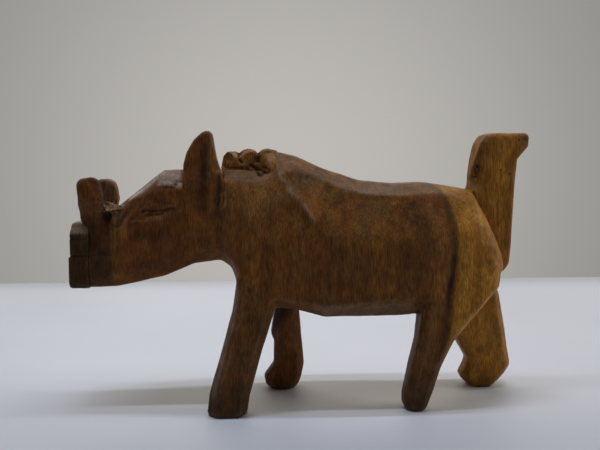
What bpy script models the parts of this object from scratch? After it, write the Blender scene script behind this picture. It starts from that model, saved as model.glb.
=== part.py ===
"""A small hand-carved wooden warthog, standing with its tail up.

The figure is cut from one upright-grained block: trunk, neck, head and four legs are one
solid. The ears, tusks, snout plate, mane crest and tail are separate slips of the same wood,
let into sockets in that block. It faces -X, +Z is up, and its left side is -Y.
The origin is on the ground, under the middle of the figure.
"""

import math

import bmesh
import bpy
from mathutils import Vector

MM = 0.001

# Driving dimensions, in millimetres.
HALF_LENGTH = 64.5          # snout plate's front, and the right hind heel, from the origin
SEAT_GAP = 0.3              # clearance round each slip of wood that is let into the block
EDGE_WEAR = 0.5             # width of the rounding on the slips' edges

# The block's cross-sections, from the muzzle back to the rump. Each has its place along X and
# six corners (half width, height): back, shoulder edge, ridge, flank, lower flank and belly.
TRUNK_SECTIONS = {
    "muzzle_end": (
        -59.5, (4.5, 56.0), (8.4, 52.6), (8.8, 49.0), (8.9, 44.0), (8.8, 37.2), (7.4, 34.9)),
    "nose_bridge": (
        -52.1, (4.0, 57.2), (8.6, 54.0), (9.1, 50.0), (9.3, 45.0), (9.0, 38.4), (6.8, 35.1)),
    "brow": (
        -39.1, (6.0, 67.2), (9.7, 63.4), (10.3, 57.0), (10.3, 50.0), (9.6, 42.0), (7.0, 37.9)),
    "temple": (
        -30.9, (6.2, 67.4), (10.2, 63.6), (10.7, 58.0), (10.8, 52.0), (10.0, 45.4), (7.0, 41.4)),
    "nape": (
        -23.6, (6.0, 67.2), (10.4, 64.0), (11.2, 58.0), (11.4, 51.0), (10.6, 46.0), (7.4, 42.3)),
    "throat": (
        -20.8, (5.8, 67.3), (10.6, 64.4), (11.6, 58.0), (12.0, 50.0), (11.4, 44.0), (7.6, 40.3)),
    "chest": (
        -18.8, (5.7, 67.3), (10.7, 64.5), (11.8, 58.0), (12.6, 49.0), (12.2, 39.5), (8.4, 35.0)),
    "breast": (
        -14.4, (5.5, 67.1), (10.8, 64.4), (12.2, 58.0), (13.6, 48.0), (13.6, 35.6), (9.0, 30.2)),
    "crest_seat": (
        -9.1, (5.2, 67.0), (10.8, 64.9), (12.6, 58.0), (14.4, 47.0), (14.4, 32.8), (9.6, 29.2)),
    "withers": (
        -9.0, (2.4, 72.6), (10.6, 66.0), (12.6, 58.0), (14.4, 47.0), (14.4, 32.8), (9.6, 29.2)),
    "hump": (
        -2.8, (2.6, 71.2), (8.4, 67.6), (12.8, 60.4), (14.8, 48.0), (14.6, 31.6), (9.8, 28.6)),
    "belly_corner": (
        4.8, (3.0, 67.7), (9.0, 64.2), (14.8, 51.0), (15.1, 44.0), (14.7, 30.0), (10.0, 26.5)),
    "ribs": (
        15.6, (3.4, 64.2), (9.4, 60.7), (15.0, 48.6), (15.2, 43.0), (14.7, 31.2), (10.0, 26.6)),
    "loin": (
        25.1, (3.6, 63.4), (9.6, 60.2), (14.9, 48.4), (15.1, 43.0), (14.5, 32.0), (9.8, 26.6)),
    "flank": (
        34.0, (3.8, 63.7), (9.4, 61.0), (14.1, 51.0), (14.7, 45.0), (14.0, 31.8), (9.2, 27.2)),
    "croup": (
        44.0, (3.8, 62.2), (9.0, 59.2), (13.0, 52.0), (13.9, 46.5), (13.2, 36.0), (8.0, 30.8)),
    "tail_root": (
        47.7, (3.8, 61.4), (8.5, 58.2), (11.9, 52.4), (12.9, 47.0), (12.3, 37.4), (7.2, 32.4)),
    "haunch": (
        50.4, (3.6, 55.8), (7.4, 54.6), (10.6, 51.4), (12.2, 47.0), (11.6, 38.2), (6.8, 33.4)),
    "rump": (
        52.8, (3.4, 50.8), (6.6, 50.2), (9.6, 48.4), (11.0, 45.4), (10.4, 39.0), (6.0, 34.6)),
    "buttock": (
        55.0, (3.0, 45.4), (5.6, 45.1), (8.0, 44.0), (9.0, 42.6), (8.4, 39.2), (5.2, 36.0)),
    "seat": (
        56.4, (2.6, 41.4), (4.6, 41.2), (6.2, 40.7), (6.8, 40.0), (6.2, 38.4), (4.0, 37.2)),
}

# Each leg's sections, from the sole up: height, front and back along X, outer and inner side
# as distances from the middle plane. The four legs are cut at different points of a walk.
LEG_SECTIONS = {
    "left_fore": (
        (0.0, -26.9, -17.3, 15.1, 7.4), (1.2, -27.3, -16.4, 15.5, 7.0),
        (6.0, -26.8, -15.6, 15.5, 6.8), (19.0, -23.1, -12.1, 15.3, 6.2),
        (28.0, -20.6, -9.2, 15.0, 5.6), (36.0, -19.4, -7.0, 14.0, 5.0),
        (46.0, -16.9, -5.5, 11.6, 4.5),
    ),
    "left_hind": (
        (0.0, 28.0, 33.3, 12.9, 5.8), (1.4, 27.3, 34.0, 13.4, 5.3),
        (4.4, 27.2, 35.0, 13.6, 5.2), (12.5, 28.9, 37.4, 14.2, 4.8),
        (20.0, 30.7, 40.9, 14.5, 4.4), (28.4, 31.6, 47.8, 14.6, 3.8),
        (35.0, 32.4, 53.6, 14.0, 3.2), (40.0, 34.0, 54.4, 12.8, 3.0),
        (48.0, 37.0, 52.2, 10.8, 3.0), (55.0, 40.0, 48.6, 8.2, 3.0),
    ),
    "right_fore": (
        (0.0, -10.0, -2.8, 14.9, 7.6), (1.6, -11.4, -1.2, 15.5, 7.1),
        (4.0, -11.8, -0.3, 15.5, 7.0), (8.0, -8.9, 0.4, 15.4, 6.8),
        (15.0, -8.8, -0.3, 15.3, 6.2), (17.6, -9.8, -0.6, 15.2, 6.0),
        (25.0, -8.6, -1.2, 15.0, 5.4), (33.0, -10.0, 0.0, 14.4, 5.0),
        (44.0, -11.4, -1.4, 11.6, 4.5),
    ),
    "right_hind": (
        (0.0, 52.1, 59.3, 14.4, 7.0), (2.0, 49.9, 61.3, 15.0, 6.5),
        (3.8, 49.1, 62.8, 15.0, 6.4), (6.6, 50.4, 64.5, 15.0, 6.2),
        (8.6, 51.1, 64.3, 15.0, 6.0), (12.4, 48.9, 63.4, 14.9, 5.8),
        (19.0, 45.1, 62.1, 14.8, 5.0), (29.8, 38.5, 59.8, 14.4, 4.0),
        (38.0, 36.5, 55.6, 13.0, 3.4), (48.0, 38.5, 52.2, 10.8, 3.0),
        (55.0, 40.0, 48.6, 8.2, 3.0),
    ),
}
LEG_CHAMFER = 2.0           # the knife's flat along each corner of a leg
LEG_FRONT_CHAMFER = 2.6     # the wider flat on a leg's outer front corner

# Side outlines of the slips, as (x, height).
EAR_OUTLINE = (
    (-32.8, 58.0), (-33.0, 64.0), (-32.9, 68.6), (-31.9, 72.2), (-30.1, 75.2), (-27.8, 77.2),
    (-26.4, 77.6), (-25.8, 76.8), (-25.3, 73.8), (-24.6, 70.2), (-23.8, 67.6), (-23.1, 66.6),
    (-23.1, 60.0), (-23.8, 55.2), (-25.6, 53.2), (-29.4, 53.4), (-32.1, 55.4),
)
EAR_SIDES = (6.8, 11.4)     # inner and outer face, from the middle plane
RIGHT_EAR_FORWARD = 2.3     # the right ear stands this much nearer the snout
TUSK_OUTLINE = (
    (-59.4, 44.0), (-53.1, 44.2), (-52.9, 50.6), (-53.9, 53.8), (-55.5, 57.2), (-56.0, 62.0),
    (-56.5, 64.2), (-57.9, 65.0), (-60.8, 64.7), (-61.7, 63.6), (-61.4, 58.6), (-60.8, 53.6),
    (-59.4, 52.6),
)
TUSK_SIDES = (6.4, 10.6)
RIGHT_TUSK_BACK = 0.4       # the right tusk stands this much nearer the brow,
RIGHT_TUSK_DROP = 0.6       # and this much lower
CREST_OUTLINE = (
    (-23.2, 65.6), (-9.3, 65.6), (-9.3, 72.6), (-10.6, 73.0), (-12.0, 72.7), (-13.4, 71.4),
    (-14.4, 72.6), (-16.1, 73.0), (-17.6, 72.5), (-18.6, 71.5), (-19.6, 72.2), (-21.8, 72.0),
    (-22.8, 70.8), (-23.3, 68.0),
)
CREST_HALF_THICKNESS = 3.3
TAIL_OUTLINE = (
    (47.9, 59.0), (48.0, 66.0), (48.8, 70.4), (50.1, 74.8), (51.4, 76.9), (53.1, 77.4),
    (62.9, 77.4), (63.6, 76.8), (63.5, 74.0), (60.3, 70.2), (59.8, 64.0), (59.4, 56.0),
    (59.1, 46.0), (58.6, 40.2), (57.1, 38.0), (54.4, 38.8), (52.2, 45.0), (50.0, 52.0),
)
TAIL_HALF_THICKNESS = 4.6
TAIL_CHAMFER = 1.7

# The snout plate is an eight-sided slab seen from the front: half width and height.
SNOUT_BACK = -59.8
SNOUT_OUTLINE = (
    (8.0, 34.8), (9.0, 36.2), (9.0, 43.0), (8.8, 49.6), (6.2, 52.8),
    (-6.2, 52.8), (-8.8, 49.6), (-9.0, 43.0), (-9.0, 36.2), (-8.0, 34.8),
)
NOSTRIL_RADIUS = 1.3
NOSTRIL_DEPTH = 1.4
NOSTRIL_PLACE = (3.6, 46.6)  # distance from the middle plane, and height

# Cuts of the knife in the block, each a V-shaped groove between two points of its surface.
GROOVES = {
    "left_cheek": ((-47.0, -9.9, 55.6), (-33.2, -10.9, 56.6), 1.1),
    "right_cheek": ((-46.4, 9.9, 55.4), (-34.8, 10.9, 56.4), 1.1),
}
BROW_CHIPS = ((-34.6, -9.6, 63.4), (-36.4, 9.6, 63.6))
CHIP_SIZE = (3.6, 2.6, 3.0)


def clear_scene():
    for obj in list(bpy.data.objects):
        bpy.data.objects.remove(obj, do_unlink=True)


def make_collection(name):
    collection = bpy.data.collections.new(name)
    bpy.context.scene.collection.children.link(collection)
    return collection


def wood(name, colour, roughness):
    material = bpy.data.materials.new(name)
    material.use_nodes = True
    shader = material.node_tree.nodes["Principled BSDF"]
    shader.inputs["Base Color"].default_value = (*colour, 1.0)
    shader.inputs["Roughness"].default_value = roughness
    shader.inputs["Metallic"].default_value = 0.0
    return material


def add_mesh(name, mesh, collection, material=None):
    obj = bpy.data.objects.new(name, mesh)
    collection.objects.link(obj)
    if material:
        obj.data.materials.append(material)
    return obj


def as_helper(obj):
    """Marks an object as a cutter: it shapes another one and isn't a part itself."""
    obj.hide_render = True
    obj.display_type = "WIRE"
    return obj


def loft(name, rings, collection):
    """A closed body through rings of equally many points, given in millimetres."""
    mesh = bpy.data.meshes.new(name)
    bm = bmesh.new()
    layers = [[bm.verts.new(Vector(point) * MM) for point in ring] for ring in rings]
    count = len(rings[0])
    for lower, upper in zip(layers, layers[1:]):
        for i in range(count):
            j = (i + 1) % count
            bm.faces.new((lower[i], lower[j], upper[j], upper[i]))
    bm.faces.new(layers[0])
    bm.faces.new(layers[-1])
    bmesh.ops.recalc_face_normals(bm, faces=bm.faces)
    bm.to_mesh(mesh)
    bm.free()
    return add_mesh(name, mesh, collection)


def trunk_ring(section):
    """One cross-section of the trunk: the left corners up the flank, then the right ones down."""
    x, *corners = section
    left = [(x, -half, height) for half, height in reversed(corners)]
    right = [(x, half, height) for half, height in corners]
    return left + right


def leg_ring(section, side):
    """A leg's section at one height: a rectangle with its four corners cut off."""
    height, front, back, outer, inner = section
    small = min(LEG_CHAMFER, (back - front) / 4)
    wide = min(LEG_FRONT_CHAMFER, (back - front) / 3)
    corners = (
        (front + wide, outer), (back - small, outer), (back, outer - small),
        (back, inner + small), (back - small, inner), (front + small, inner),
        (front, inner + small), (front, outer - wide),
    )
    return [(x, side * y, height) for x, y in corners]


def slab(name, outline, low, high, collection, wear=EDGE_WEAR, grow=0.0):
    """A flat slip of wood: a side outline in XZ, as thick as low to high along Y.

    A socket is cut with the same slab, grown by the seat gap.
    """
    curve = bpy.data.curves.new(name, "CURVE")
    curve.dimensions = "2D"
    curve.fill_mode = "BOTH"
    curve.extrude = ((high - low) / 2 + grow) * MM
    curve.offset = grow * MM
    spline = curve.splines.new("POLY")
    spline.points.add(len(outline) - 1)
    for point, (x, height) in zip(spline.points, outline):
        point.co = (x * MM, height * MM, 0.0, 1.0)
    spline.use_cyclic_u = True
    guide = bpy.data.objects.new(name, curve)
    guide.rotation_euler.x = math.pi / 2
    guide.location.y = (low + high) / 2 * MM
    collection.objects.link(guide)
    obj = meshed(guide, collection)
    if wear:
        bevel = obj.modifiers.new("worn_edges", "BEVEL")
        bevel.width = wear * MM
        bevel.segments = 2
        bevel.limit_method = "ANGLE"
        bevel.angle_limit = math.radians(50)
    return obj


def meshed(guide, collection):
    """Turns a curve object into a closed mesh object in the same place, and removes the curve."""
    bpy.context.view_layer.update()
    graph = bpy.context.evaluated_depsgraph_get()
    mesh = bpy.data.meshes.new_from_object(guide.evaluated_get(graph))
    mesh.transform(guide.matrix_world)
    name = guide.name
    bpy.data.objects.remove(guide, do_unlink=True)
    bm = bmesh.new()
    bm.from_mesh(mesh)
    bmesh.ops.remove_doubles(bm, verts=bm.verts, dist=0.01 * MM)
    bmesh.ops.dissolve_limit(bm, verts=bm.verts, edges=bm.edges, angle_limit=0.01)
    bmesh.ops.recalc_face_normals(bm, faces=bm.faces)
    bm.to_mesh(mesh)
    bm.free()
    mesh.name = name
    obj = add_mesh(name, mesh, collection)
    return obj


def combine(obj, other, operation):
    """Adds a Boolean of obj with a helper object."""
    modifier = obj.modifiers.new(f"{operation.lower()}_{other.name}", "BOOLEAN")
    modifier.operation = operation
    modifier.object = as_helper(other)
    modifier.solver = "EXACT"


def groove_cutter(name, start, end, depth, helpers):
    """A square bar laid on edge between two points, so that it leaves a V-shaped groove."""
    start = Vector(start) * MM
    end = Vector(end) * MM
    bpy.ops.mesh.primitive_cone_add(
        vertices=4,
        radius1=depth * MM,
        radius2=depth * MM * 0.6,
        depth=(end - start).length,
        location=(start + end) / 2,
        rotation=(end - start).to_track_quat("Z", "X").to_euler(),
    )
    bar = bpy.context.object
    bar.name = name
    move_to(bar, helpers)
    return bar


def chip_cutter(name, place, helpers):
    """A small rough lump that knocks a chip out of the brow in front of an ear."""
    bpy.ops.mesh.primitive_ico_sphere_add(
        subdivisions=1, radius=0.5, location=Vector(place) * MM, rotation=(0.4, 0.3, 0.2)
    )
    lump = bpy.context.object
    lump.name = name
    lump.scale = Vector(CHIP_SIZE) * MM
    move_to(lump, helpers)
    return lump


def move_to(obj, collection):
    for old in list(obj.users_collection):
        old.objects.unlink(obj)
    collection.objects.link(obj)


def shifted(outline, along, up=0.0):
    return tuple((x + along, height + up) for x, height in outline)


def make_snout_plate(collection, helpers, material):
    """The slab across the end of the muzzle, with two shallow nostrils in its front face."""
    rings = [
        [(x, y, height) for y, height in SNOUT_OUTLINE]
        for x in (-HALF_LENGTH, SNOUT_BACK)
    ]
    plate = loft("snout_plate", rings, collection)
    plate.data.materials.append(material)
    bevel = plate.modifiers.new("worn_edges", "BEVEL")
    bevel.width = EDGE_WEAR * MM
    bevel.segments = 2
    for side, name in ((-1, "left"), (1, "right")):
        bpy.ops.mesh.primitive_cone_add(
            vertices=16,
            radius1=NOSTRIL_RADIUS * MM,
            radius2=NOSTRIL_RADIUS * 0.4 * MM,
            depth=2 * NOSTRIL_DEPTH * MM,
            location=Vector((-HALF_LENGTH, side * NOSTRIL_PLACE[0], NOSTRIL_PLACE[1])) * MM,
            rotation=(0.0, math.pi / 2, 0.0),
        )
        drill = bpy.context.object
        drill.name = f"{name}_nostril_drill"
        move_to(drill, helpers)
        combine(plate, drill, "DIFFERENCE")
    return plate


def slip_specs():
    """Each slip that is let into the block: its name, outline, faces along Y and edge wear."""
    ear_in, ear_out = EAR_SIDES
    tusk_in, tusk_out = TUSK_SIDES
    right_ear = shifted(EAR_OUTLINE, -RIGHT_EAR_FORWARD)
    right_tusk = shifted(TUSK_OUTLINE, RIGHT_TUSK_BACK, -RIGHT_TUSK_DROP)
    return (
        ("left_ear", EAR_OUTLINE, -ear_out, -ear_in, EDGE_WEAR),
        ("right_ear", right_ear, ear_in, ear_out, EDGE_WEAR),
        ("left_tusk", TUSK_OUTLINE, -tusk_out, -tusk_in, EDGE_WEAR),
        ("right_tusk", right_tusk, tusk_in, tusk_out, EDGE_WEAR),
        ("mane_crest", CREST_OUTLINE, -CREST_HALF_THICKNESS, CREST_HALF_THICKNESS, EDGE_WEAR),
        ("tail", TAIL_OUTLINE, -TAIL_HALF_THICKNESS, TAIL_HALF_THICKNESS, TAIL_CHAMFER),
    )


def make_block(collection, helpers, material):
    """Trunk, neck and head with the four legs, sockets for the slips, and the knife's cuts."""
    rings = [trunk_ring(section) for section in TRUNK_SECTIONS.values()]
    block = loft("carved_block", rings, collection)
    block.data.materials.append(material)
    for name, sections in LEG_SECTIONS.items():
        side = -1 if name.startswith("left") else 1
        leg = loft(f"{name}_leg", [leg_ring(s, side) for s in sections], helpers)
        combine(block, leg, "UNION")
    for name, outline, low, high, _ in slip_specs():
        socket = slab(f"{name}_socket", outline, low, high, helpers, wear=0, grow=SEAT_GAP)
        combine(block, socket, "DIFFERENCE")
    for name, (start, end, depth) in GROOVES.items():
        combine(block, groove_cutter(f"{name}_groove", start, end, depth, helpers), "DIFFERENCE")
    for name, place in zip(("left", "right"), BROW_CHIPS):
        combine(block, chip_cutter(f"{name}_brow_chip", place, helpers), "DIFFERENCE")
    return block


def main():
    clear_scene()
    figure = make_collection("carved_warthog")
    helpers = make_collection("cutters")
    heartwood = wood("heartwood", (0.16, 0.075, 0.03), 0.5)
    sapwood = wood("sapwood", (0.36, 0.2, 0.085), 0.55)
    make_block(figure, helpers, heartwood)
    make_snout_plate(figure, helpers, heartwood)
    for name, outline, low, high, wear in slip_specs():
        slip = slab(name, outline, low, high, figure, wear)
        slip.data.materials.append(sapwood if name == "tail" else heartwood)


main()
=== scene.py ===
"""The looks of a small hand-carved wooden warthog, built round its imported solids.

Each solid is copied, remeshed finely and worked over as the real figure was: its edges are worn
round, and then knife flats, grooves, chips and holes are cut. The carving tools work in
millimetres and Blender in metres. The figure faces -X, its left side is -Y and +Z is up.
"""

import itertools
import math

import bpy
import numpy as np
from mathutils.bvhtree import BVHTree
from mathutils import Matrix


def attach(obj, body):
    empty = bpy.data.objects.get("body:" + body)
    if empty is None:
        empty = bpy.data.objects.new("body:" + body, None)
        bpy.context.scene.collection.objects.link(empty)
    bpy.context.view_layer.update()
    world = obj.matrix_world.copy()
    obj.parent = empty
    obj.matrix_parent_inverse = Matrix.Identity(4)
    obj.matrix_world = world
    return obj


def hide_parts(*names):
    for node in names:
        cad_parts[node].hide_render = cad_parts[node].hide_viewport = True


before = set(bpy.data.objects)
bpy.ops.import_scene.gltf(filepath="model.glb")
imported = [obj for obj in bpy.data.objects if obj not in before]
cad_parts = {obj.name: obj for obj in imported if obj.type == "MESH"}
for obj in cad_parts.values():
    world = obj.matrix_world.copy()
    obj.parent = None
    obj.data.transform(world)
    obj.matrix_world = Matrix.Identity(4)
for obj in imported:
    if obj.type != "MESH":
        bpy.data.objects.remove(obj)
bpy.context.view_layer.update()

MM = 0.001

# Where the camera stands, in millimetres, and how it looks.
CAMERA_PLACE = (-11.39, -191.74, 68.0)
CAMERA_YAW = math.radians(-3.0)
CAMERA_DOWN = math.radians(4.96)
CAMERA_LENS = 40.08
SENSOR_WIDTH = 36.0
CLIP = (0.005, 20.0)  # metres

# The soft lights: name, place, size, angles, watts and colour. A pair of long tubes overhead
# throws the shadow; one soft panel stands high at the back and another off to the right.
COOL_LIGHT = (0.86, 0.97, 1.22)
WARM_LIGHT = (1.06, 1.0, 0.9)
PANELS = (
    ("tube_1", (130.0, 0.0, 1100.0), (640.0, 14.0), (0.0, 0.0, 0.04), 2.85, COOL_LIGHT),
    ("tube_2", (-330.0, -165.0, 1100.0), (800.0, 16.0), (0.0, 0.0, 0.05), 3.3, COOL_LIGHT),
    ("back", (0.0, 560.0, 470.0), (1300.0, 260.0), (-0.87, 0.0, 0.0), 1.8, WARM_LIGHT),
    ("right", (1700.0, 0.0, 700.0), (1500.0, 900.0), (0.0, 1.19, 0.0), 12.0, WARM_LIGHT),
)
WORLD_COLOUR = (0.93, 0.96, 1.0, 1.0)
WORLD_STRENGTH = 0.11  # what the room gives the figure

# The table, its far edge a little askew, and the wall behind it, as corners in millimetres.
TABLE_CORNERS = ((-900, -700, 0), (900, -700, 0), (900, 218, 0), (-900, 194, 0))
TABLE_COLOUR = (0.73, 0.73, 0.74)
TABLE_ROUGHNESS = 0.5
WALL_CORNERS = ((-2600, 620, -500), (2600, 620, -500), (2600, 620, 1500), (-2600, 620, 1500))
WALL_COLOUR = (1.0, 0.965, 0.915, 1.0)
# The wall is no lamp but glows by itself: a painted pool of light, brightest behind the figure.
WALL_BRIGHT = 0.51  # the wall's glow behind the figure
WALL_DIM = 0.27  # and at its sides, which is also what the camera sees past the wall
WALL_GLOW_CENTRE = (0.015, 0.62, 0.06)  # metres
WALL_GLOW_REACH = (0.56, 0.56)  # metres sideways and upward

# The mesh's cell on the big block and on the small slips of wood, in millimetres.
BLOCK_CELL = 0.42
SLIP_CELL = 0.30
SEAM_FILL = 0.28  # how far each slip swells, to close the gap round it
SEAM_WIDTH = 0.5  # wood this near to another solid counts as being in the joint
JOINT_RING = (0.45, 2.6)  # wood this far from a slip shows how the ground runs past it
JOINT_LIP = 0.7  # how far a slip's rim spreads over its joint
JOINT_DIP = 0.22  # and how far it dips into the block
JOINT_PROUD = 0.02  # how far the rest of the slip's face stands out of the block
NOISE_SIZE = 32  # cells along each axis, before the noise repeats
GRAIN_SEED = 5  # breaks up the edge of a tint, unless it has a seed of its own

SLIPS = ("left_ear", "right_ear", "left_tusk", "right_tusk", "mane_crest", "tail",
         "snout_plate")

# The mane's hindmost lobe: how it spreads to meet the hump behind it, in millimetres.
LOBE_SPREADS = (-13.4, -9.9)  # from where along X to where
LOBE_HALF_WIDTH = 3.55
LOBE_OVERLAP = 1.6  # how far its end is carried in under the hump
HUMP_CENTRE = (-8.0, 69.0)  # along X and Z

# Torn fibres behind the left tusk, each from root to tip as (x, z) points, and the rings of
# each one: share of its length, and distance of its corners from its middle.
FIBRES = (((-53.0, 56.9), (-57.2, 58.6)), ((-52.4, 57.0), (-55.7, 55.8)),
          ((-51.8, 57.1), (-55.1, 56.5)), ((-50.2, 57.4), (-54.3, 58.7)),
          ((-50.2, 57.3), (-54.6, 57.1)), ((-50.4, 57.2), (-53.5, 56.3)),
          ((-51.2, 57.0), (-54.9, 57.7)), ((-50.8, 57.1), (-53.7, 58.4)),
          ((-53.2, 56.6), (-52.2, 58.7)), ((-52.0, 56.8), (-53.9, 58.0)))
FIBRE_RINGS = ((0.0, 0.22), (0.35, 0.22), (0.7, 0.18), (1.0, 0.04))
FIBRE_SEED = 71

# Colours of the two woods. Each growth streak runs between a dark and a light colour.
HEART_DARK, HEART_LIGHT = (0.130, 0.042, 0.007), (0.235, 0.086, 0.013)
HEART_DULL, HEART_WARM = (0.14, 0.064, 0.015), (0.26, 0.10, 0.022)
HEART_RED, HEART_OLIVE = (0.20, 0.052, 0.009), (0.165, 0.096, 0.018)
HEART_STREAK = (0.060, 0.023, 0.007)
SAP_DARK, SAP_LIGHT = (0.27, 0.106, 0.012), (0.43, 0.192, 0.026)
SAP_STREAK, SAP_MOTTLE = (0.18, 0.068, 0.010), (0.30, 0.105, 0.015)
BOUNDARY = (0.04, 0.022, 0.010)
# The first colour greys upward faces, as dust and as a painted sheen.
DUST_AND_SHEEN, WORN, HOLLOW_DARK = (0.29, 0.19, 0.105), (0.33, 0.21, 0.11), (0.018, 0.009, 0.004)
PORE = (0.03, 0.015, 0.006)
WOOD_SHINE = 0.12
SAP_LEAN = 0.62  # how far the boundary moves along X for each millimetre along Y
SAP_WANDER = 3.0  # millimetres
SAP_FOOT = (44.0, -0.14)  # below this height it bends back, by this much a millimetre

# The tints that are painted on, in the order in which they're laid over the wood.
TINTS = {
    "tan": (0.26, 0.125, 0.035),
    "red": (0.15, 0.040, 0.008),
    "orange": (0.40, 0.15, 0.03),
    "shade": (0.020, 0.011, 0.006),
    # A grey for bare wood, used also for painted highlights and sheen.
    "bare_and_highlight": (0.42, 0.32, 0.25),
    "pale": (0.50, 0.38, 0.22),
    "dark": (0.014, 0.007, 0.004),
}

# Broad spots on both sides of the block: layer, centre and size along X and Z, strength, seed.
BLOCK_SPOTS = (
    ("shade", (26.0, 44.0), (11.0, 11.0), 0.12, 6),
    ("shade", (31.0, 54.5), (9.0, 6.5), 0.42, 20),
    ("shade", (-30.0, 50.0), (8.0, 8.0), 0.25, 7),
    ("shade", (-42.5, 50.0), (9.0, 5.0), 0.52, 18),
    ("shade", (-42.5, 41.0), (10.0, 4.5), 0.34, 21),
    ("shade", (-17.5, 64.8), (8.0, 3.4), 0.38, 25),
    ("shade", (-15.6, 30.0), (8.0, 11.0), 0.42, 22),
    ("shade", (1.0, 65.5), (9.0, 4.4), 0.48, 23),
    ("red", (4.0, 42.0), (7.0, 12.0), 0.35, 16),
    ("red", (36.0, 58.0), (4.0, 6.0), 0.60, 17),
    ("red", (-45.0, 48.0), (9.0, 9.0), 0.35, 24),
    ("orange", (-45.5, 46.0), (4.0, 7.0), 0.10, 8),
    ("orange", (-9.0, 51.0), (6.0, 6.0), 0.09, 9),
)


# ---- Carving tools ----


def value_noise(points, cell, seed):
    """Smooth noise from -1 to 1 at each point, with a cell size for each axis."""
    table = np.random.default_rng(seed).uniform(-1.0, 1.0, (NOISE_SIZE,) * 3)
    place = points / np.asarray(cell, float) + 100.0
    low = np.floor(place).astype(int)
    part = place - low
    part = part * part * (3.0 - 2.0 * part)
    total = np.zeros(len(points))
    for step in itertools.product((0, 1), repeat=3):
        share = np.abs(1 - np.array(step) - part)
        corner = tuple(((low + step) % NOISE_SIZE).T)
        total += share[:, 0] * share[:, 1] * share[:, 2] * table[corner]
    return total


def cell_distance(points, cell, seed):
    """Distance to the nearest of many scattered points, one to a cell, in cells."""
    scatter = np.random.default_rng(seed).uniform(0.1, 0.9, (NOISE_SIZE,) * 3 + (3,))
    place = points / np.asarray(cell, float) + 100.0
    low = np.floor(place).astype(int)
    nearest = np.full(len(points), 9.0)
    for step in itertools.product((-1, 0, 1), repeat=3):
        corner = low + step
        point = corner + scatter[tuple((corner % NOISE_SIZE).T)]
        nearest = np.minimum(nearest, np.linalg.norm(place - point, axis=1))
    return nearest


def fade(distance, reach):
    """1 at no distance, falling smoothly to 0 at reach."""
    part = np.clip(1.0 - distance / reach, 0.0, 1.0)
    return part * part * (3.0 - 2.0 * part)


def ramp(value, low, high):
    """0 below low and 1 above high, with a smooth rise between."""
    part = np.clip((value - low) / (high - low), 0.0, 1.0)
    return part * part * (3.0 - 2.0 * part)


def drop(value, low, high):
    """1 below low and 0 above high, with a smooth fall between."""
    return 1.0 - ramp(value, low, high)


def taper(along, ends):
    """1 along a path, easing to 0 over the share called ends at each of its ends."""
    return ramp(along, 0.0, ends) * drop(along, 1.0 - ends, 1.0) if ends else 1.0


def path_distance(points, path):
    """Distance of each point from a path of straight stretches, and how far along it lies."""
    path = np.asarray(path, float)
    best = np.full(len(points), 1e9)
    along = np.zeros(len(points))
    steps = len(path) - 1
    for i, (start, end) in enumerate(zip(path, path[1:])):
        run = end - start
        part = np.clip((points - start) @ run / (run @ run), 0.0, 1.0)
        distance = np.linalg.norm(points - (start + part[:, None] * run), axis=1)
        closer = distance < best
        best[closer] = distance[closer]
        along[closer] = (i + part[closer]) / steps
    return best, along


def at_depth(y, path):
    """A path of (x, z) points, laid at one distance from the middle plane."""
    return [(px, y, pz) for px, pz in path]


def unit(vector):
    """A vector of the same direction, one long."""
    vector = np.asarray(vector, float)
    return vector / np.linalg.norm(vector)


def add_object(name, data):
    """A new object in the scene."""
    made = bpy.data.objects.new(name, data)
    bpy.context.scene.collection.objects.link(made)
    return made


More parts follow.
